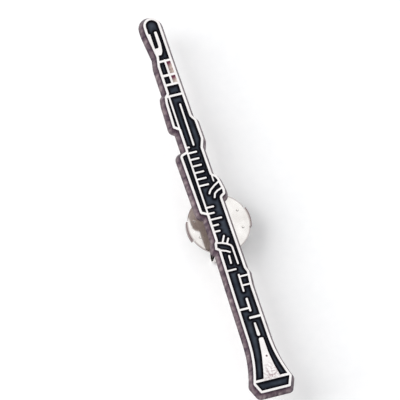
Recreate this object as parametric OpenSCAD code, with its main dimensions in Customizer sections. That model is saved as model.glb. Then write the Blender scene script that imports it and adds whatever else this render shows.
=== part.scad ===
// Clarinet-shaped enamelled lapel pin with its butterfly clutch.
// +Z is the normal of the pin's face and +Y points to the mouthpiece. The origin is below the middle
// of the pin's length, on the clutch's centre line. The clutch stands on its two wings at z = 0 and
// the pin is pushed on from above.

/* [Pin] */
// Length of the face, from mouthpiece tip to bell
face_len = 69.65; // [65:0.05:75]
// Thickness of the casting
pin_t = 1.55; // [1.4:0.05:2.4]
// How far the side walls flare out towards the back
flare = 0.65; // [0.3:0.05:0.8]
// Width of the raised outline
outline_w = 0.39; // [0.36:0.01:0.46]
// Width of the raised inner lines
line_w = 0.29; // [0.26:0.01:0.36]
// Depth of the cells below the raised lines
cell_depth = 0.4; // [0.25:0.05:0.6]
// Step from the raised lines down to the enamel
enamel_step = 0.08; // [0.03:0.01:0.15]

/* [Post] */
// Distance of the post from the mouthpiece tip
post_d = 37.3; // [36:0.1:39]
// Distance of the post to the right of the pin's centre line
post_right = 0.8; // [0:0.1:1]
// Diameter of the post's thick root
root_dia = 1.4; // [1.4:0.05:1.45]
// Diameter of the post
post_dia = 1.05; // [1:0.05:1.05]
// Length of the post below the back of the pin
post_len = 6.6; // [6.2:0.1:6.9]
// Diameter of the pad that joins the post to the pin
pad_dia = 2.2; // [2:0.1:2.6]

/* [Clutch] */
// Diameter of the clutch disc
disc_dia = 10.7; // [10:0.1:11.5]
// Height of the clutch
clutch_h = 5.4; // [5.2:0.05:5.8]
// Free gap between the disc and the back of the pin, where the cloth goes
cloth_gap = 2.2; // [2.16:0.02:3]
// Sheet thickness of the disc
disc_t = 0.35; // [0.3:0.05:0.4]
// Sheet thickness of the spring
spring_t = 0.28; // [0.24:0.02:0.3]
// Diameter of the guide hole
guide_dia = 1.55; // [1.55:0.05:1.65]
// Width of each crimped tab
tab_w = 3.4; // [2.8:0.1:3.6]
// Number of grip bumps on the disc
bump_count = 8; // [6:1:12]
// Width of each wing at its outer end
wing_w = 4.0; // [4:0.1:5]
// Width of each jaw beside the post
jaw_w = 3.6; // [3.2:0.1:4]
// Diameter of the hole in each jaw
jaw_hole = 1.7; // [1.6:0.05:1.8]

/* [Hidden] */
$fn = 48;

nickel = "silver";
glaze = "#15171c";

disc_top = clutch_h;
back_z = disc_top + cloth_gap;
face_z = back_z + pin_t;
cell_z = face_z - cell_depth;
wall_step = 0.03;
pad_sunk = 0.2;
pad_proud = 0.15;
pad_bottom = back_z - pad_proud;
over = 0.5;
post_y = face_len / 2 - post_d;

// Places what belongs to the post and its clutch, drawn round the Z axis
module at_post() {
    translate([0, post_y, 0])
        children();
}

// ---- the face, drawn as x from the pin's centre line and d down from the mouthpiece tip ----

tip_r = 1.45;
bell_d0 = 60;
bell_d1 = 67.8;
bell_w0 = 1.97;
bell_w1 = 3.38;
function bell_half(d) = bell_w0 + (bell_w1 - bell_w0) * pow((d - bell_d0) / (bell_d1 - bell_d0), 2);

// Corners of the outline as [x, d, radius], clockwise from the right of the tip
right_side = [
    [1.35, 0, tip_r], [1.35, 8, 20],
    [1.45, 18.65, 0.5], [2.02, 19.6, 0.5], [2.08, 23.2, 0.7], [1.5, 24.75, 0.6],
    [1.53, 29.7, 0.3], [2.12, 30.1, 0.25], [2.42, 30.75, 0.3], [2.74, 32.9, 0.6], [2.6, 33.7, 0.35],
    [1.86, 34.15, 0.3], [1.93, 47.3, 0.4], [2.2, 48, 0.3], [1.95, 50.4, 1.5]];
bell_steps = [60.5, 62.3, 63.8, 65.2, 66.6];
bell_right = [for (d = bell_steps) [bell_half(d), d, 5]];
rim = [[bell_w1, bell_d1, 0.35], [2.6, face_len, 0.25], [-2.6, face_len, 0.25], [-bell_w1, bell_d1, 0.35]];
bell_left = [for (i = [len(bell_steps) - 1 : -1 : 0]) [-bell_half(bell_steps[i]), bell_steps[i], 5]];
left_side = [
    [-1.84, 52, 8], [-1.68, 44.5, 2], [-1.64, 43.3, 0.15], [-2.16, 42.95, 0.22], [-1.95, 41.95, 0.3],
    [-1.62, 41.5, 0.3], [-1.6, 36.65, 0.2], [-2.6, 36.1, 0.5], [-2.76, 25.2, 0.65], [-1.5, 24.8, 0.15],
    [-1.48, 20.75, 0.15], [-2.3, 20.1, 0.3], [-2.17, 15.6, 2], [-1.97, 14.4, 0.15], [-1.45, 13.95, 0.2],
    [-1.42, 8.8, 1], [-1.08, 7.1, 0.8], [-1.4, 4.2, 4], [-1.55, 2.6, 2], [-1.55, 0, tip_r]];
outline = concat(right_side, bell_right, rim, bell_left, left_side);

function to_y(d) = face_len / 2 - d;
function to_x(x) = x - post_right;
function flat(p) = [to_x(p[0]), to_y(p[1])];
function unit(v) = v / norm(v);
function left_of(v) = [-v[1], v[0]];
function turn(a, b) = atan2(a[0] * b[1] - a[1] * b[0], a * b);

// The corners moved outwards by o, with radii that follow; each entry is [point, radius]
function moved(cs, o) = [for (i = [0 : len(cs) - 1])
    let (n = len(cs), p = flat(cs[i]),
        a = unit(p - flat(cs[(i + n - 1) % n])), b = unit(flat(cs[(i + 1) % n]) - p),
        na = left_of(a), nb = left_of(b),
        bend = turn(a, b), r = cs[i][2])
    [p + o * (na + nb) / (1 + na * nb), max(0.04, bend < 0 ? r + o : r - o)]];

// One rounded corner as points on its arc; a corner turning by more degrees has more points
function arc_at(prev, here, next, r) =
    let (a = unit(here - prev), b = unit(next - here), bend = turn(a, b),
        reach = r * tan(abs(bend) / 2), side = sign(bend),
        start = here - reach * a, centre = start + side * r * left_of(a),
        steps = max(1, ceil(abs(bend) / 16)), arm = start - centre)
    [for (k = [0 : steps]) let (t = bend * k / steps)
        centre + [arm[0] * cos(t) - arm[1] * sin(t), arm[0] * sin(t) + arm[1] * cos(t)]];
function rounded(ps) = [for (i = [0 : len(ps) - 1])
    let (n = len(ps))
    each arc_at(ps[(i + n - 1) % n][0], ps[i][0], ps[(i + 1) % n][0], ps[i][1])];
function ring(cs, o) = rounded(moved(cs, o));

module shape(cs) {
    polygon(ring(cs, 0));
}

// A raised line with round ends, from p to q, its width running from w0 to w1
module line_at(p, q, w0 = line_w, w1 = 0) {
    w_end = w1 > 0 ? w1 : w0;
    a = flat(p);
    b = flat(q);
    n = left_of(unit(b - a)) / 2;
    polygon([a + n * w0, b + n * w_end, b - n * w_end, a - n * w0]);
    translate(a)
        circle(d = w0);
    translate(b)
        circle(d = w_end);
}

module path_at(points) {
    for (i = [0 : len(points) - 2])
        line_at(points[i], points[i + 1]);
}

module rung(d, x0, x1, w = line_w) {
    line_at([x0, d], [x1, d], w);
}

// A full-width cross band between two depths
module band(d0, d1) {
    translate([to_x(-4), to_y(d1)])
        square([8, d1 - d0]);
}

module mouthpiece_lines() {
    shape([[-0.12, 2.6, 0.2], [0.33, 2.6, 0.2], [0.38, 4.9, 1.5], [0.2, 6.3, 1], [-0.12, 6.93, 0.25],
        [-1.5, 6.93, 0.04], [-1.5, 5.62, 0.04], [-0.16, 5.62, 0.3]]);
    shape([[-1.5, 2.72, 0.04], [-0.88, 2.85, 0.1], [-0.88, 5.8, 0.1], [-1.5, 5.8, 0.04]]);
}

module ligature_lines() {
    band(7.9, 8.28);
    band(10.5, 10.93);
    band(12.25, 12.65);
    band(14.3, 14.68);
    line_at([0.08, 8], [0.08, 12.5], 0.34);
}

module upper_joint_lines() {
    line_at([-1.25, 14.5], [-1.3, 20.6]);
    line_at([0.17, 16.3], [0.12, 23.9]);
    rung(24.15, -1.3, -0.78, 0.28);
    line_at([-1.34, 24.9], [-1.38, 36.6]);
    for (i = [0 : 5])
        rung(25.2 + 1.23 * i, -1.3, 0.16 + 0.03 * i, 0.3);
    line_at([1.38, 30], [1.38, 31], 0.22);
    path_at([[2.3, 31.25], [1.2, 31.85], [0.4, 32.45], [0, 33]]);
    path_at([[2.45, 32.5], [1.45, 32.85], [0.9, 33.25], [0.65, 33.9]]);
}

module lower_joint_lines() {
    rung_ends = [-0.1, -0.35, 0.6, -0.3, -0.4];
    for (i = [0 : 4])
        rung(35.4 + 1.12 * i, -1.4, rung_ends[i], 0.3);
    line_at([0.02, 40.95], [-0.6, 42.1]);
    line_at([0.58, 41.6], [0.1, 42.4], 0.3);
    path_at([[-1.5, 41.9], [-0.7, 42.1], [0.05, 42.42], [0.62, 42.85], [0.78, 43.25], [0.8, 46.3]]);
    path_at([[-1.9, 43.1], [-0.4, 43.68], [0.1, 44]]);
    line_at([-0.25, 44.65], [-0.32, 45.95], 0.3);
    rung(47.2, -1.5, 0.1);
    line_at([0.28, 48.3], [0.18, 51.3]);
    rung(48.65, 0.28, 2.1);
    rung(50.3, 0.22, 1.8);
    line_at([0.24, 52.8], [0.2, 54.95], 0.36);
    rung(54.45, -1.6, 0.2, 0.34);
    rung(56.2, -0.22, 1.8, 0.38);
}

module bell_lines() {
    line_at([0.22, 57.35], [0.22, 59.4], 0.32, 0.52);
    shape([[0.04, 60.05, 0.25], [0.78, 60.05, 0.25], [0.82, 63, 4], [1.1, 65.4, 4], [1.55, 67.6, 0.04],
        [-1.5, 67.6, 0.04], [-1, 65.8, 4], [-0.4, 63.2, 6]]);
    band(67.25, 67.68);
}

module all_lines() {
    mouthpiece_lines();
    ligature_lines();
    upper_joint_lines();
    lower_joint_lines();
    bell_lines();
}

module zone(d0, d1, x0, x1) {
    translate([to_x(x0), to_y(d1)])
        square([x1 - x0, d1 - d0]);
}

// What is left of the inside of the outline between the raised lines, within a box
module cell(d0, d1, x0 = -4, x1 = 4) {
    intersection() {
        difference() {
            polygon(ring(outline, -outline_w));
            all_lines();
        }
        zone(d0, d1, x0, x1);
    }
}

module cell_mouthpiece() {
    cell(0, 8.1);
}

module cell_ligature_upper() {
    cell(8.1, 10.7, -4, 0.08);
}

module cell_ligature_lower() {
    cell(10.7, 12.5, -4, 0.08);
}

module cell_ligature_bare() {
    cell(8.1, 12.5, 0.08, 4);
}

module cell_barrel() {
    cell(12.5, 14.5);
}

module cell_register_key() {
    cell(14.5, 20.7, -4, -1.28);
}

module cell_side_key() {
    cell(24.8, 36.6, -4, -1.36);
}

module cell_bracket() {
    cell(48.65, 50.3, 0.28, 4);
}

// The long cell of both joints, without the key cells beside it and the closed bracket cell
module cell_body() {
    difference() {
        cell(14.5, 67.4);
        zone(14.4, 20.7, -4, -1.28);
        zone(24.6, 36.6, -4, -1.36);
        zone(48.65, 50.3, 0.28, 4);
    }
}

module cell_bell_rim() {
    cell(67.5, face_len);
}

// ---- the pin ----

// The sloping side wall, a band all round the casting whose section is a triangle with its inner
// side buried in the casting
module draft_wall() {
    buried = 0.08;
    sections = [[-buried, back_z + wall_step], [flare, back_z + wall_step], [-buried, face_z - wall_step]];
    rings = [for (s = sections) [for (p = ring(outline, s[0])) [p[0], p[1], s[1]]]];
    n = len(rings[0]);
    polyhedron(
        points = [for (r = rings) each r],
        faces = [for (k = [0 : 2], i = [0 : n - 1], half = [0, 1])
            let (a = ((k + 1) % 3) * n, b = ((k + 2) % 3) * n, j = (i + 1) % n)
            half == 0 ? [a + i, a + j, b + j] : [a + i, b + j, b + i]]);
}

module pin_body() {
    color(nickel)
        difference() {
            union() {
                translate([0, 0, back_z])
                    linear_extrude(pin_t)
                        polygon(ring(outline, 0));
                draft_wall();
            }
            translate([0, 0, cell_z])
                linear_extrude(cell_depth + over) {
                    cell_mouthpiece();
                    cell_ligature_upper();
                    cell_ligature_lower();
                    cell_ligature_bare();
                    cell_barrel();
                    cell_register_key();
                    cell_side_key();
                    cell_bracket();
                    cell_body();
                    cell_bell_rim();
                }
            at_post()
                translate([0, 0, back_z - over])
                    cylinder(d = pad_dia, h = over + pad_sunk);
        }
}

module enamel() {
    color(glaze)
        translate([0, 0, cell_z])
            linear_extrude(cell_depth - enamel_step)
                children();
}

module enamel_mouthpiece() {
    enamel()
        cell_mouthpiece();
}

module enamel_ligature_upper() {
    enamel()
        cell_ligature_upper();
}

module enamel_ligature_lower() {
    enamel()
        cell_ligature_lower();
}

module enamel_barrel() {
    enamel()
        cell_barrel();
}

module enamel_register_key() {
    enamel()
        cell_register_key();
}

module enamel_side_key() {
    enamel()
        cell_side_key();
}

module enamel_bracket() {
    enamel()
        cell_bracket();
}

module enamel_body() {
    enamel()
        cell_body();
}

module enamel_bell_rim() {
    enamel()
        cell_bell_rim();
}

module post_pad() {
    color(nickel)
        translate([0, 0, pad_bottom])
            cylinder(d = pad_dia, h = pad_sunk + pad_proud);
}

// Post with a thick root, a groove where the jaws bite and a sharp tip
root_len = 1.6;
tip_len = 1.1;
tip_dia = 0.2;
groove_deep = 0.1;
groove_w = 0.35;
post_bottom = back_z - post_len;
jaw_z_upper = disc_top - 2.3;
jaw_z_lower = disc_top - 3.05;

module post() {
    root_end = pad_bottom - root_len;
    tip_top = post_bottom + tip_len;
    groove_low = jaw_z_lower - groove_w / 2;
    groove_high = groove_low + groove_w;
    color(nickel)
        rotate_extrude()
            polygon([[0, post_bottom], [tip_dia / 2, post_bottom], [post_dia / 2, tip_top],
                [post_dia / 2, groove_low], [post_dia / 2 - groove_deep, groove_low],
                [post_dia / 2 - groove_deep, groove_high], [post_dia / 2, groove_high],
                [post_dia / 2, root_end], [root_dia / 2, root_end], [root_dia / 2, pad_bottom],
                [0, pad_bottom]]);
}

// ---- the clutch ----

disc_bottom = disc_top - disc_t;
plate_bottom = disc_bottom - spring_t;
tab_out = 5.55;
tab_in = 3.9;
tab_root = 4.75;
notch_w = 0.3;
notch_in = 4.8;
bump_ring = 4.1;
bump_dia = 0.6;
bump_h = 0.14;
bump_sunk = 0.1;
plate_half = 4.6;
hinge_y = 4.4;
knuckle_dia = spring_t + 0.02;
hinge_z = disc_bottom - knuckle_dia / 2 - 0.01;
fit_gap = 0.05;

// Tab that leaves the disc's edge, turns down and grips the spring plate from below; its outside
// follows the round edge
module crimp_tab() {
    tab_bottom = plate_bottom - disc_t;
    intersection() {
        union() {
            translate([tab_root, -tab_w / 2, disc_bottom])
                cube([tab_out - tab_root, tab_w, disc_t]);
            translate([plate_half, -tab_w / 2, tab_bottom])
                cube([tab_out - plate_half, tab_w, disc_bottom - tab_bottom]);
            translate([tab_in, -tab_w / 2, tab_bottom])
                cube([tab_out - tab_in, tab_w, disc_t]);
        }
        translate([0, 0, tab_bottom - over])
            cylinder(r = tab_out, h = disc_t + spring_t + disc_t + 2 * over);
    }
}

module clutch_base() {
    color(nickel)
        difference() {
            union() {
                difference() {
                    translate([0, 0, disc_bottom])
                        cylinder(d = disc_dia, h = disc_t);
                    for (side = [-1, 1], edge = [-1, 1])
                        translate([side * (notch_in + over), edge * (tab_w + notch_w) / 2, disc_bottom])
                            cube([2 * over, notch_w, 4 * over], center = true);
                }
                for (turned = [0, 180])
                    rotate([0, 0, turned])
                        crimp_tab();
                for (i = [0 : bump_count - 1])
                    rotate([0, 0, (i + 0.5) * 360 / bump_count])
                        translate([bump_ring, 0, disc_top - bump_sunk])
                            cylinder(d1 = bump_dia, d2 = bump_dia / 2, h = bump_h + bump_sunk);
            }
            translate([0, 0, disc_bottom - over])
                cylinder(d = guide_dia, h = disc_t + 2 * over);
        }
}

// Bow-tie plan of the spring: narrow at the post, wide at the ends
module bow_tie(reach) {
    polygon([[jaw_w / 2, -1.4], [jaw_w / 2, 1.4], [wing_w / 2, 4], [wing_w / 2, reach],
        [-wing_w / 2, reach], [-wing_w / 2, 4], [-jaw_w / 2, 1.4], [-jaw_w / 2, -1.4]]);
}

module clutch_spring_plate() {
    plate_y = hinge_y - knuckle_dia / 2 - fit_gap;
    color(nickel)
        translate([0, 0, plate_bottom])
            linear_extrude(spring_t)
                difference() {
                    union() {
                        square([2 * plate_half, tab_w - 0.2], center = true);
                        square([wing_w, 2 * plate_y], center = true);
                    }
                    circle(d = guide_dia);
                }
}

// Side profile of a wing as corners [y, z] of its centre line, with the radius of each bend
crest_z = spring_t / 2;
function wing_line(jaw_z) = [
    [hinge_y, hinge_z], [4.9, 3.3], [4.9, 1.6], [4.55, crest_z], [3.8, crest_z], [1.5, jaw_z],
    [-1, jaw_z]];
function wing_bends() = [0, 0.8, 0.9, 0.6, 0.45, 0.8, 0];
function centre_arc(ps, rs) = [for (i = [0 : len(ps) - 1])
    each (i == 0 || i == len(ps) - 1 ? [ps[i]] : arc_at(ps[i - 1], ps[i], ps[i + 1], rs[i]))];
function side_run(ps, o) = [for (i = [0 : len(ps) - 1])
    let (a = unit(ps[min(i + 1, len(ps) - 1)] - ps[max(i - 1, 0)]))
    ps[i] + o * left_of(a)];

module wing_profile(jaw_z) {
    centre = centre_arc(wing_line(jaw_z), wing_bends());
    one_side = side_run(centre, spring_t / 2);
    other_side = side_run(centre, -spring_t / 2);
    polygon(concat(one_side, [for (i = [len(other_side) - 1 : -1 : 0]) other_side[i]]));
}

// Profile stands in the YZ plane and is cut to the bow-tie plan; the jaw hole is off centre at rest
module wing(jaw_z) {
    hole_y = jaw_hole / 2 - post_dia / 2 - fit_gap;
    color(nickel)
        difference() {
            union() {
                intersection() {
                    rotate([90, 0, 90])
                        translate([0, 0, -wing_w / 2])
                            linear_extrude(wing_w)
                                wing_profile(jaw_z);
                    translate([0, 0, -1])
                        linear_extrude(clutch_h + 2)
                            bow_tie(7);
                }
                translate([-wing_w / 2, hinge_y, hinge_z])
                    rotate([0, 90, 0])
                        cylinder(d = knuckle_dia, h = wing_w);
            }
            translate([0, hole_y, -over])
                cylinder(d = jaw_hole, h = clutch_h);
        }
}

module clutch_wing_upper() {
    wing(jaw_z_upper);
}

module clutch_wing_lower() {
    rotate([0, 0, 180])
        wing(jaw_z_lower);
}

pin_body();
enamel_mouthpiece();
enamel_ligature_upper();
enamel_ligature_lower();
enamel_barrel();
enamel_register_key();
enamel_side_key();
enamel_bracket();
enamel_body();
enamel_bell_rim();
at_post() post_pad();
at_post() post();
at_post() clutch_base();
at_post() clutch_spring_plate();
at_post() clutch_wing_upper();
at_post() clutch_wing_lower();
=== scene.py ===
"""Looks of a clarinet-shaped enamelled lapel pin with a butterfly clutch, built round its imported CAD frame."""
import math

import bmesh
import bpy
import numpy as np
from mathutils import Matrix, Vector
from mathutils.geometry import delaunay_2d_cdt


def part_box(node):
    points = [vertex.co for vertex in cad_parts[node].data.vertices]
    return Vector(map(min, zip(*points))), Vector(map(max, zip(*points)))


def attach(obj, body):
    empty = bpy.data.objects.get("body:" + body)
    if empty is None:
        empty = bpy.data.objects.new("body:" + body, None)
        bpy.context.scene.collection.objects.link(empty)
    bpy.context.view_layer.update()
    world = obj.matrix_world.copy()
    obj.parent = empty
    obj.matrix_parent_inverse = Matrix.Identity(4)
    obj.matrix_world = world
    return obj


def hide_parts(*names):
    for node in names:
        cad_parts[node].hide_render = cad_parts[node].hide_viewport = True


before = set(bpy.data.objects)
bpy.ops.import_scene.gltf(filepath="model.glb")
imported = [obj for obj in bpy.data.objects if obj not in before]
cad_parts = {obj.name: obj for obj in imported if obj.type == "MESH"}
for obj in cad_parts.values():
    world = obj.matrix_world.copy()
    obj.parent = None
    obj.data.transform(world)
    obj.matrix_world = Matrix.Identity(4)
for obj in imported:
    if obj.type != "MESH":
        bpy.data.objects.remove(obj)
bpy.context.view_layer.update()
MM = 0.001


# ---------------------------------------------------------------- node helpers

class Nodes:
    """A small builder for one procedural material."""

    def __init__(self, name):
        self.material = bpy.data.materials.new(name)
        self.material.use_nodes = True
        self.tree = self.material.node_tree
        self.tree.nodes.clear()
        self.output = self.add("ShaderNodeOutputMaterial")
        self.shader = self.add("ShaderNodeBsdfPrincipled")
        self.link(self.shader, "BSDF", self.output, "Surface")

    def add(self, kind, **values):
        node = self.tree.nodes.new(kind)
        for key, value in values.items():
            if key in node.inputs:
                node.inputs[key].default_value = value
            else:
                setattr(node, key, value)
        return node

    def link(self, a, out, b, into):
        self.tree.links.new(a.outputs[out], b.inputs[into])

    def set(self, **values):
        for key, value in values.items():
            self.shader.inputs[key.replace("_", " ")].default_value = value

    def noise(self, scale, detail=3.0, stretch=(1, 1, 1), rough=0.5):
        """Noise in object space; scale counts features per millimetre, stretch squeezes each axis."""
        coords = self.add("ShaderNodeTexCoord")
        mapping = self.add("ShaderNodeMapping")
        mapping.inputs["Scale"].default_value = [1000 * scale * s for s in stretch]
        self.link(coords, "Object", mapping, "Vector")
        noise = self.add("ShaderNodeTexNoise", Scale=1.0, Detail=detail, Roughness=rough)
        self.link(mapping, "Vector", noise, "Vector")
        return noise

    def object_coords(self):
        return self.add("ShaderNodeTexCoord")

    def height(self, low, high):
        """0..1 as object z goes from low to high."""
        split = self.add("ShaderNodeSeparateXYZ")
        self.link(self.object_coords(), "Object", split, "Vector")
        part = self.spread(split, "Z", 0, 1)
        part.inputs["From Min"].default_value = low
        part.inputs["From Max"].default_value = high
        return part

    def away_from(self, point, near, far, flat=False):
        """0..1 as the distance from a point goes from near to far; flat leaves out the height."""
        from_point = self.add("ShaderNodeVectorMath", operation="SUBTRACT")
        self.link(self.object_coords(), "Object", from_point, 0)
        from_point.inputs[1].default_value = point
        levelled = self.add("ShaderNodeVectorMath", operation="MULTIPLY")
        self.link(from_point, "Vector", levelled, 0)
        levelled.inputs[1].default_value = (1, 1, 0 if flat else 1)
        length = self.add("ShaderNodeVectorMath", operation="LENGTH")
        self.link(levelled, "Vector", length, 0)
        part = self.spread(length, "Value", 0, 1)
        part.inputs["From Min"].default_value = near
        part.inputs["From Max"].default_value = far
        return part

    def mix(self, fac, fac_out, a, b, kind="MIX"):
        """Mixes two colours, each a node or a constant; fac may be a number."""
        mix = self.add("ShaderNodeMixRGB", blend_type=kind)
        if isinstance(fac, (int, float)):
            mix.inputs["Fac"].default_value = fac
        else:
            self.link(fac, fac_out, mix, "Fac")
        for value, socket in ((a, "Color1"), (b, "Color2")):
            if isinstance(value, tuple):
                mix.inputs[socket].default_value = (*value, 1)
            else:
                self.link(value, "Color", mix, socket)
        return mix

    def ramp(self, source, out, stops):
        ramp = self.add("ShaderNodeValToRGB")
        elements = ramp.color_ramp.elements
        for i, (at, colour) in enumerate(stops):
            element = elements[i] if i < 2 else elements.new(at)
            element.position = at
            element.color = colour if len(colour) == 4 else (*colour, 1)
        self.link(source, out, ramp, "Fac")
        return ramp

    def spread(self, source, out, low, high):
        """Maps 0..1 to low..high."""
        spread = self.add("ShaderNodeMapRange")
        spread.inputs["To Min"].default_value = low
        spread.inputs["To Max"].default_value = high
        self.link(source, out, spread, "Value")
        return spread

    def bump(self, source, out, height_mm, after=None):
        bump = self.add("ShaderNodeBump")
        bump.inputs["Strength"].default_value = 1
        bump.inputs["Distance"].default_value = height_mm * MM
        self.link(source, out, bump, "Height")
        if after:
            self.link(after, "Normal", bump, "Normal")
        self.link(bump, "Normal", self.shader, "Normal")
        return bump


def polished_nickel(name, dark, bright, rough=(0.06, 0.16), ripple=0.004, marks=()):
    """Bright plating with faint cloudiness, hairline scratches and an uneven polish.

    Marks are stains and bands of painted shade, each as (point, near, far, colour, flat): full colour inside
    near, none beyond far."""
    m = Nodes(name)
    m.set(Metallic=1.0)
    cloud = m.noise(0.45, 4)
    colour = m.ramp(cloud, "Fac", [(0.3, dark), (0.7, bright)])
    patchy = m.ramp(m.noise(2.2, 4), "Fac", [(0.42, (0, 0, 0)), (0.6, (1, 1, 1))])
    for point, near, far, stain_and_shade_colour, flat in marks:
        reach = m.away_from(point, near, far, flat)
        with_stain_and_shade = m.mix(reach, "Result", stain_and_shade_colour, colour)
        colour = m.mix(patchy, "Color", colour, with_stain_and_shade) if far > 1.5 * MM and not flat else with_stain_and_shade
    m.link(colour, "Color", m.shader, "Base Color")
    scratch = m.noise(6, 2, stretch=(1, 0.12, 1))
    m.link(m.spread(scratch, "Fac", *rough), "Result", m.shader, "Roughness")
    soft = m.bump(cloud, "Fac", ripple * 3)
    m.bump(scratch, "Fac", ripple * 0.35, soft)
    return m.material


def cast_wall(name):
    """Side walls of the casting: dull plated metal streaked down the draft; its dark mauve-grey is partly the
    plating's own tone and partly painted reflection of dark surroundings, with painted shade in bands at its top
    and bottom.
    """
    m = Nodes(name)
    m.set(Metallic=0.9)
    streak = m.noise(1.3, 5, stretch=(1, 1, 0.35))
    # Dark mauve-grey base: partly the plating's duller tone, partly painted reflection standing in for the dark
    # surroundings that upright metal mirrors.
    grey = m.ramp(streak, "Fac", [(0.3, (0.06, 0.035, 0.06)), (0.5, (0.185, 0.142, 0.158)),
                                  (0.72, (0.35, 0.285, 0.295))])
    # Painted shade: darker in a band just under the face and again at the back edge, lighter across the middle
    # of the wall.
    edges = m.ramp(m.height(pin_low.z, pin_high.z), "Result", [
        (0.0, (0.3, 0.24, 0.3)), (0.08, (0.85, 0.85, 0.85)), (0.38, (1, 1, 1)), (0.6, (0.72, 0.62, 0.7)),
        (0.78, (0.24, 0.17, 0.24)), (1.0, (0.16, 0.115, 0.165))])
    m.link(m.mix(1.0, None, grey, edges, "MULTIPLY"), "Color", m.shader, "Base Color")
    fine = m.noise(9, 3)
    m.link(m.spread(fine, "Fac", 0.34, 0.52), "Result", m.shader, "Roughness")
    wave = m.bump(streak, "Fac", 0.03)
    m.bump(fine, "Fac", 0.008, wave)
    return m.material


def sandblasted_back(name):
    """Plain back of the casting: matt plating over a fine blasted grain."""
    m = Nodes(name)
    m.set(Metallic=1.0)
    grain = m.noise(5.5, 4, rough=0.65)
    m.link(m.ramp(grain, "Fac", [(0.3, (0.46, 0.38, 0.36)), (0.7, (0.74, 0.66, 0.63))]),
           "Color", m.shader, "Base Color")
    m.link(m.spread(grain, "Fac", 0.32, 0.5), "Result", m.shader, "Roughness")
    m.bump(grain, "Fac", 0.05)
    return m.material


def bare_recess(name, shaded_corners):
    """Floor of the two ligature cells that hold no enamel: warm, dull metal with painted shade in the corners.
    """
    m = Nodes(name)
    m.set(Metallic=0.55)
    blotch = m.noise(1.6, 3)
    colour = m.ramp(blotch, "Fac", [
        (0.3, (0.3, 0.18, 0.19)), (0.5, (0.46, 0.37, 0.33)), (0.72, (0.62, 0.55, 0.49))])
    # Painted shade: dark magenta darkening round each upper corner of the recess floor.
    for corner in shaded_corners:
        colour = m.mix(m.away_from(corner, 0.25 * MM, 0.75 * MM, True), "Result", (0.17, 0.035, 0.075), colour)
    m.link(colour, "Color", m.shader, "Base Color")
    m.link(m.spread(blotch, "Fac", 0.3, 0.5), "Result", m.shader, "Roughness")
    m.bump(blotch, "Fac", 0.02)
    return m.material


def black_enamel(name, glaze_low, glaze_high):
    """Fired glossy enamel: near black at the edges, with a painted blue-grey sheen in the middle of a cell,
    faintly wavy.
    """
    m = Nodes(name)
    m.set(Specular_IOR_Level=0.06)
    # Painted sheen: blue-grey where the enamel sags in the middle of a cell, fading to near black where it
    # climbs the metal.
    sheen_and_wave = m.noise(0.5, 2)
    painted_sheen = m.ramp(sheen_and_wave, "Fac", [(0.35, (0.024, 0.031, 0.045)), (0.65, (0.055, 0.068, 0.09))])
    edge = m.ramp(m.height(glaze_low, glaze_high), "Result", [(0.02, (0, 0, 0)), (0.3, (1, 1, 1))])
    m.link(m.mix(edge, "Color", painted_sheen, (0.002, 0.0015, 0.004)), "Color", m.shader, "Base Color")
    speck = m.noise(4.5, 3)
    m.link(m.spread(speck, "Fac", 0.07, 0.17), "Result", m.shader, "Roughness")
    wave = m.bump(sheen_and_wave, "Fac", 0.03)
    m.bump(speck, "Fac", 0.0015, wave)
    return m.material


def drawn_wire(name):
    """The post: nickel wire with turned rings round it."""
    m = Nodes(name)
    m.set(Metallic=1.0)
    rings = m.noise(7, 2, stretch=(0.05, 0.05, 1))
    m.link(m.ramp(rings, "Fac", [(0.3, (0.55, 0.53, 0.52)), (0.7, (0.74, 0.72, 0.7))]),
           "Color", m.shader, "Base Color")
    m.link(m.spread(rings, "Fac", 0.14, 0.3), "Result", m.shader, "Roughness")
    m.bump(rings, "Fac", 0.006)
    return m.material


def solder(name):
    """Dull, slightly lumpy solder with flux stains."""
    m = Nodes(name)
    m.set(Metallic=0.95)
    lump = m.noise(1.8, 4)
    tarnish = m.ramp(lump, "Fac", [
        (0.3, (0.3, 0.28, 0.26)), (0.55, (0.56, 0.55, 0.53)), (0.8, (0.7, 0.69, 0.67))])
    m.link(tarnish, "Color", m.shader, "Base Color")
    m.link(m.spread(lump, "Fac", 0.25, 0.5), "Result", m.shader, "Roughness")
    m.bump(lump, "Fac", 0.03)
    return m.material


def paper_floor(name):
    """Pale paper with faint clouds of fibre."""
    m = Nodes(name)
    fibre = m.noise(0.6, 4)
    m.link(m.ramp(fibre, "Fac", [(0.3, (0.925, 0.93, 0.935)), (0.7, (0.945, 0.948, 0.95))]),
           "Color", m.shader, "Base Color")
    m.set(Roughness=0.9)
    return m.material


pin_low, pin_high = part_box("pin_body")
pin_x = (pin_low.x + pin_high.x) / 2
bell_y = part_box("enamel_bell_rim")[1].y
post_axis = (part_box("post")[0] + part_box("post")[1]) / 2
disc_low, disc_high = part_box("clutch_base")
disc_r = (disc_high.y - disc_low.y) / 2
bell_pit = Vector((pin_x + 0.35 * MM, bell_y + 4.25 * MM, pin_high.z))
bell_stain = Vector((pin_x + 0.2 * MM, bell_y + 0.9 * MM, pin_high.z))
BELL_MARKS = [
    (bell_pit, 0.1 * MM, 0.24 * MM, (0.13, 0.06, 0.07), False),
    (bell_stain, 0.1 * MM, 2.6 * MM, (0.42, 0.31, 0.33), False)]
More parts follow.
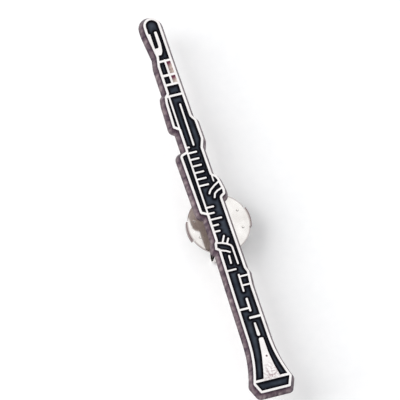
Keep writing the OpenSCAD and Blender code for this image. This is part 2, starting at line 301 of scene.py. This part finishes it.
# Painted shade: a dark brown band round the rim of the clutch disc.
RIM_PAINTED_SHADE = [(post_axis, 1.03 * disc_r, 0.95 * disc_r, (0.16, 0.1, 0.1), True)]
NICKEL = polished_nickel("nickel_face", (0.84, 0.81, 0.8), (0.96, 0.94, 0.93), marks=BELL_MARKS)
CLUTCH = polished_nickel("clutch_plating", (0.78, 0.75, 0.72), (0.95, 0.93, 0.9), (0.1, 0.2), 0.003, RIM_PAINTED_SHADE)
SPRING = polished_nickel("spring_plating", (0.66, 0.64, 0.62), (0.86, 0.84, 0.82), (0.09, 0.2), 0.003)
WALL = cast_wall("cast_wall")
BACK = sandblasted_back("sandblasted_back")
# Points beside the upper corners of the bare ligature cells, round which painted shade darkens the recess floor.
RECESS_CORNERS = [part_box(node)[1] + Vector((0.75 * MM, 0, 0))
                  for node in ("enamel_ligature_upper", "enamel_ligature_lower")]
RECESS = bare_recess("bare_recess", RECESS_CORNERS)
MENISCUS_RISE = 0.055 * MM
MENISCUS_REACH = 0.13 * MM
MENISCUS_SAG = 0.07 * MM
ENAMEL_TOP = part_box("enamel_body")[1].z
ENAMEL = black_enamel("black_enamel", ENAMEL_TOP - MENISCUS_SAG, ENAMEL_TOP + MENISCUS_RISE)
WIRE = drawn_wire("drawn_wire")
SOLDER = solder("solder")


# ---------------------------------------------------------------- mesh helpers

def new_piece(name, verts, faces, body, material):
    mesh = bpy.data.meshes.new(name)
    mesh.from_pydata([tuple(v) for v in verts], [], faces)
    mesh.validate()
    mesh.materials.append(material)
    for polygon in mesh.polygons:
        polygon.use_smooth = True
    piece = bpy.data.objects.new(name, mesh)
    bpy.context.scene.collection.objects.link(piece)
    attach(piece, body)
    return piece


def dress(node, materials, pick=None):
    """Gives a CAD node its materials; pick chooses one for each face from its centre and normal."""
    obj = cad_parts[node]
    obj.data.materials.clear()
    for material in materials:
        obj.data.materials.append(material)
    for polygon in obj.data.polygons:
        polygon.material_index = pick(polygon.center, polygon.normal) if pick else 0
    return obj


def soften(obj, width_mm, segments=3, angle=35):
    """Rounds the edges that a die or a punch would leave rounded."""
    bevel = obj.modifiers.new("soften", "BEVEL")
    bevel.width = width_mm * MM
    bevel.segments = segments
    bevel.limit_method = "ANGLE"
    bevel.angle_limit = math.radians(angle)
    bevel.miter_outer = "MITER_ARC"
    bevel.harden_normals = True
    for polygon in obj.data.polygons:
        polygon.use_smooth = True
    return obj


# ---------------------------------------------------------------- pin casting

cell_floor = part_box("enamel_body")[0].z
ligature_low, ligature_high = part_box("enamel_ligature_lower")[0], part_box("enamel_ligature_upper")[1]
LEVEL = 0.9
SLOPING = 0.2
HEIGHT_SLACK = 0.05 * MM


def casting_slot(centre, normal):
    """0 polished face and lines, 1 side wall, 2 back, 3 bare recess."""
    if normal.z < -LEVEL:
        return 2
    bare_x = ligature_high.x
    in_ligature = ligature_low.y - 0.2 * MM < centre.y < ligature_high.y + 0.2 * MM
    on_floor = normal.z > LEVEL and abs(centre.z - cell_floor) < HEIGHT_SLACK
    if in_ligature and on_floor and centre.x > bare_x:
        return 3
    if normal.z > LEVEL:
        return 0
    if SLOPING < normal.z < LEVEL or centre.z < cell_floor - HEIGHT_SLACK:
        return 1
    return 0


casting = dress("pin_body", [NICKEL, WALL, BACK, RECESS], casting_slot)
soften(casting, 0.06, 2, 40)


# ---------------------------------------------------------------- enamel

def boundary_loops(obj, level):
    """Outlines of the flat face of a CAD node at a height, as lists of (x, y)."""
    bm = bmesh.new()
    bm.from_mesh(obj.data)
    bmesh.ops.remove_doubles(bm, verts=bm.verts, dist=0.5e-6)
    flat = [f for f in bm.faces if all(abs(v.co.z - level) < 2e-6 for v in f.verts)]
    chosen = set(flat)
    following = {}
    for face in flat:
        for loop in face.loops:
            if not any(f in chosen for f in loop.edge.link_faces if f is not face):
                following[loop.vert.index] = (loop.link_loop_next.vert.index, loop.vert.co.copy())
    loops = []
    while following:
        start = next(iter(following))
        at, ring = start, []
        while at in following:
            at, co = following.pop(at)
            ring.append((co.x, co.y))
        loops.append(ring)
    bm.free()
    return loops


def dense_ring(ring, step):
    """The ring with extra points so that no edge is longer than step."""
    out = []
    for (x0, y0), (x1, y1) in zip(ring, ring[1:] + ring[:1]):
        parts = max(1, math.ceil(math.hypot(x1 - x0, y1 - y0) / step))
        out += [(x0 + (x1 - x0) * k / parts, y0 + (y1 - y0) * k / parts) for k in range(parts)]
    return out


def edge_distance(points, segments):
    """Distance of each point to the nearest outline segment."""
    best = np.full(len(points), 1e9)
    for (ax, ay), (bx, by) in segments:
        d = np.array([bx - ax, by - ay])
        v = points - (ax, ay)
        t = np.clip(v @ d / max(d @ d, 1e-18), 0, 1)
        best = np.minimum(best, np.hypot(*(v - t[:, None] * d).T))
    return best


def inside_all(points, rings):
    """True where a point is inside the outline and outside its holes."""
    inside = np.zeros(len(points), bool)
    x, y = points.T
    for ring in rings:
        for (x0, y0), (x1, y1) in zip(ring, ring[1:] + ring[:1]):
            if y0 == y1:
                continue
            crosses = ((y0 > y) != (y1 > y)) & (x < (x1 - x0) * (y - y0) / (y1 - y0) + x0)
            inside ^= crosses
    return inside


GRID = 0.085 * MM
RING_STEP = 0.12 * MM


def enamel_piece(node):
    """Enamel as it sets in its cell: hollow in the middle, climbing the metal at its edges."""
    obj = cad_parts[node]
    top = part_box(node)[1].z
    rings = [dense_ring(r, RING_STEP) for r in boundary_loops(obj, top)]
    segments = [s for r in rings for s in zip(r, r[1:] + r[:1])]
    outline = np.array([p for r in rings for p in r])
    low, high = outline.min(0), outline.max(0)
    xs = np.arange(low[0], high[0], GRID)
    ys = np.arange(low[1], high[1], GRID)
    grid = np.array([(x + (j % 2) * GRID / 2, y) for j, y in enumerate(ys) for x in xs])
    grid = grid[inside_all(grid, rings)]
    if len(grid):
        grid = grid[edge_distance(grid, segments) > 0.35 * GRID]
    verts = [Vector(p) / MM for p in outline] + [Vector(p) / MM for p in grid]
    faces, edges, start = [], [], 0
    for ring in rings:
        n = len(ring)
        edges += [(start + k, start + (k + 1) % n) for k in range(n)]
        start += n
    co, _, tris, *_ = delaunay_2d_cdt(verts, edges, [], 0, 1e-5)
    co = np.array([tuple(v) for v in co]) * MM
    middle = np.array([co[list(t)].mean(0) for t in tris])
    keep = inside_all(middle, rings)
    away = edge_distance(co, segments)
    rise = MENISCUS_RISE * np.exp(-away / MENISCUS_REACH)
    sag = MENISCUS_SAG * (1 - np.exp(-away / (3 * MENISCUS_REACH)))
    z = top + rise - sag
    surface = [(x, y, h) for (x, y), h in zip(co, z)]
    for tri, wanted in zip(tris, keep):
        if not wanted:
            continue
        (x0, y0), (x1, y1), (x2, y2) = (co[i] for i in tri)
        up = (x1 - x0) * (y2 - y0) - (x2 - x0) * (y1 - y0) > 0
        faces.append(tuple(tri) if up else tuple(reversed(tri)))
    piece = new_piece(node + "_glaze", surface, faces, "pin", ENAMEL)
    bm = bmesh.new()
    bm.from_mesh(piece.data)
    loose = [v for v in bm.verts if not v.link_faces]
    bmesh.ops.delete(bm, geom=loose, context="VERTS")
    rim = [e for e in bm.edges if e.is_boundary]
    skirt = bmesh.ops.extrude_edge_only(bm, edges=rim)
    for v in [g for g in skirt["geom"] if isinstance(g, bmesh.types.BMVert)]:
        v.co.z = cell_floor + 0.01 * MM
    bmesh.ops.recalc_face_normals(bm, faces=bm.faces)
    bm.to_mesh(piece.data)
    bm.free()
    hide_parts(node)
    return piece


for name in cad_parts:
    if name.startswith("enamel_"):
        enamel_piece(name)


# ---------------------------------------------------------------- post and clutch

dress("post", [WIRE])
soften(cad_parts["post"], 0.03, 2, 30)
dress("post_pad", [SOLDER])
soften(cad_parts["post_pad"], 0.1, 3, 30)
soften(dress("clutch_base", [CLUTCH]), 0.15, 4, 35)
soften(dress("clutch_spring_plate", [SPRING]), 0.05, 2, 35)
for name in ("clutch_wing_upper", "clutch_wing_lower"):
    soften(dress(name, [SPRING]), 0.06, 2, 40)


# ---------------------------------------------------------------- floor, light and camera

def floor():
    """A plain pale sheet, wide enough to fill the low views too."""
    half = 8.0
    mesh = bpy.data.meshes.new("floor")
    corners = [(-half, -half, 0), (half, -half, 0), (half, half, 0), (-half, half, 0)]
    mesh.from_pydata(corners, [], [(0, 1, 2, 3)])
    mesh.materials.append(paper_floor("paper_floor"))
    obj = bpy.data.objects.new("floor", mesh)
    bpy.context.scene.collection.objects.link(obj)


def area_light(name, place, size, power):
    """A soft box at a place, aimed at the middle of the pin."""
    light = bpy.data.lights.new(name, "AREA")
    light.shape = "RECTANGLE"
    light.size, light.size_y = size
    light.energy = power
    obj = bpy.data.objects.new(name, light)
    obj.location = place
    obj.rotation_mode = "QUATERNION"
    obj.rotation_quaternion = (-Vector(place)).to_track_quat("-Z", "Y")
    bpy.context.scene.collection.objects.link(obj)


def surroundings():
    """A studio that is bright overhead and dark at the horizon, so that upright metal looks dark."""
    world = bpy.data.worlds.new("studio")
    bpy.context.scene.world = world
    world.use_nodes = True
    tree = world.node_tree
    background = tree.nodes["Background"]
    coords = tree.nodes.new("ShaderNodeTexCoord")
    split = tree.nodes.new("ShaderNodeSeparateXYZ")
    ramp = tree.nodes.new("ShaderNodeValToRGB")
    stops = [(0.0, 0.16), (0.3, 0.55), (0.5, 0.95), (0.8, 1.0)]
    for i, (at, level) in enumerate(stops):
        element = ramp.color_ramp.elements[i] if i < 2 else ramp.color_ramp.elements.new(at)
        element.position = at
        element.color = (level, level, level * 1.01, 1)
    tree.links.new(coords.outputs["Generated"], split.inputs["Vector"])
    tree.links.new(split.outputs["Z"], ramp.inputs["Fac"])
    tree.links.new(ramp.outputs["Color"], background.inputs["Color"])
    background.inputs["Strength"].default_value = 0.76


# Directions of the camera's axes in the object's frame, and the face's place in the view
VIEW_BACK = Vector((-0.2295, -0.3337, 0.9146)).normalized()
VIEW_UP = Vector((0.2388, 0.8915, 0.3852))
ROLL_TRIM = math.radians(0.24)
FRAME_WIDTH = 66.93 * MM
CAMERA_DISTANCE = 3.0
FACE_RIGHT, FACE_DOWN = 2.125 * MM, 0.519 * MM


def camera():
    """The photo's view: far away, so that it is nearly parallel, with the pin's place in the frame."""
    up = (VIEW_UP - VIEW_UP.dot(VIEW_BACK) * VIEW_BACK).normalized()
    up = Matrix.Rotation(ROLL_TRIM, 3, VIEW_BACK) @ up
    right = up.cross(VIEW_BACK)
    face = Vector((pin_x, 0, pin_high.z))
    aim = face - right * FACE_RIGHT + up * FACE_DOWN
    data = bpy.data.cameras.new("camera")
    data.sensor_width = 36
    data.lens = data.sensor_width * CAMERA_DISTANCE / FRAME_WIDTH
    data.clip_start = 0.01
    data.clip_end = 20
    obj = bpy.data.objects.new("camera", data)
    turn = Matrix((right, up, VIEW_BACK)).transposed().to_4x4()
    obj.matrix_world = Matrix.Translation(aim + VIEW_BACK * CAMERA_DISTANCE) @ turn
    bpy.context.scene.collection.objects.link(obj)
    bpy.context.scene.camera = obj


floor()
surroundings()
area_light("key_left", (-0.35, 0.05, 0.32), (0.3, 0.4), 1.9)
area_light("face_card", (0.138, 0.2, 0.549), (0.25, 0.25), 0.06)
camera()
bpy.context.scene.view_settings.view_transform = "Standard"
